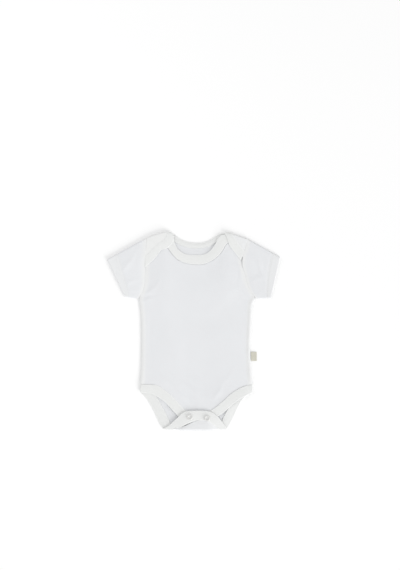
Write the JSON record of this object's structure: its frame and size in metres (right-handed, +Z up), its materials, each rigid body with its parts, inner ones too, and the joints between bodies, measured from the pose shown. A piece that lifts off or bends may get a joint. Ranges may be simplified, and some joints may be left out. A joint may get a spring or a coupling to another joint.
{
  "type": "baby bodysuit",
  "caption": "Short-sleeved newborn bodysuit laid flat, with lap shoulders, rib bindings and a crotch flap folded up over the front and snapped.",
  "frame": {"origin": "middle of the garment's outline, on the surface it lies on", "axes": "+Y from the crotch towards the neck, +X to the garment's side with the tab, +Z up from the surface"},
  "size_m": [0.312, 0.3587, 0.0093],
  "materials": {
    "cotton": "matt white cotton interlock",
    "rib": "matt white cotton rib",
    "snap_metal": "white metal, softly bright",
    "tape": "cream woven tape"
  },
  "bodies": {
    "root": {"back_panel": "cotton", "front_panel": "cotton", "sleeve_left": "cotton", "sleeve_right": "cotton", "neck_binding_front": "rib", "neck_binding_back": "rib", "leg_binding_front": "rib", "leg_binding_back": "rib", "snap_left_backing": "snap_metal", "snap_left_stud": "snap_metal", "snap_left_socket": "snap_metal", "snap_left_cap": "snap_metal", "snap_right_backing": "snap_metal", "snap_right_stud": "snap_metal", "snap_right_socket": "snap_metal", "snap_right_cap": "snap_metal", "side_tab": "tape"}
  },
  "joints": []
}
